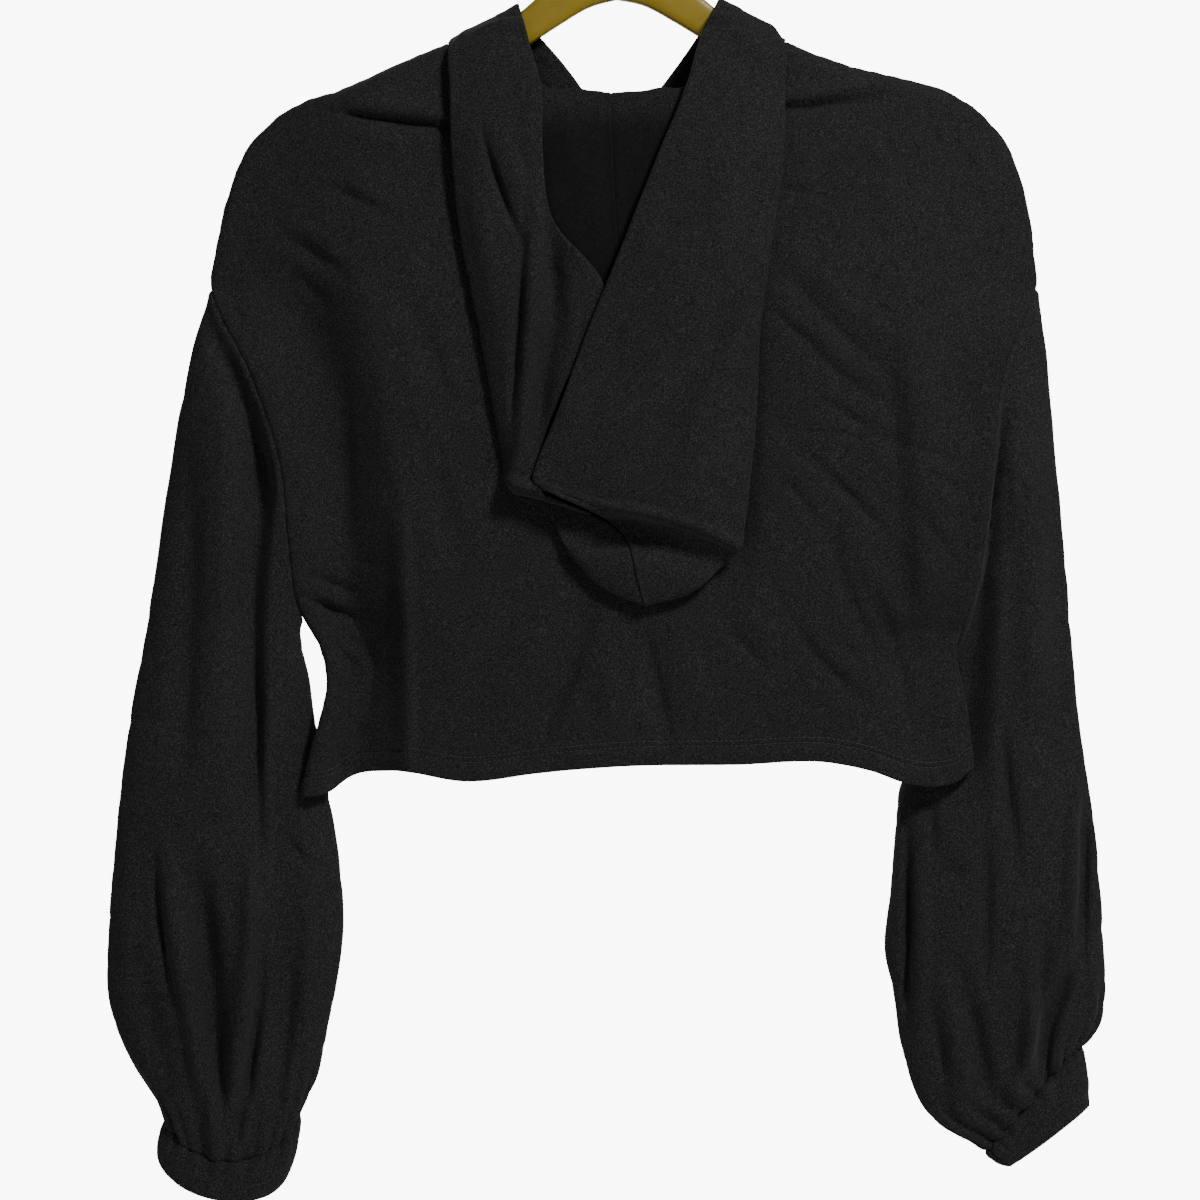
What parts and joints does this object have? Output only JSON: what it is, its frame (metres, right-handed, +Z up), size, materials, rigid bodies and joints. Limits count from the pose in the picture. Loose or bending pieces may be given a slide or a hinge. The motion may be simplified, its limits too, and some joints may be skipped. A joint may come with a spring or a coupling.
{
  "type": "crop top",
  "caption": "Cropped hooded top with full sleeves gathered into cuffs, hanging flat and hollow on a moulded hanger, seen from its back.",
  "frame": {"origin": "inside top of the hanger's hook, where a rail holds it", "axes": "+Z up; -Y towards the garment's back and its hood, the side that the picture shows; +X to the right as seen there"},
  "size_m": [0.5984, 0.0804, 0.7985],
  "materials": {
    "cloth": "brushed jersey, near black with a fine grey mottle",
    "hanger_plastic": "satin moulded plastic, mustard"
  },
  "bodies": {
    "root": {"panel_back": "cloth", "panel_front": "cloth", "hood_left": "cloth", "hood_right": "cloth", "sleeve_left": "cloth", "sleeve_right": "cloth", "cuff_left": "cloth", "cuff_right": "cloth", "hanger": "hanger_plastic"}
  },
  "joints": []
}
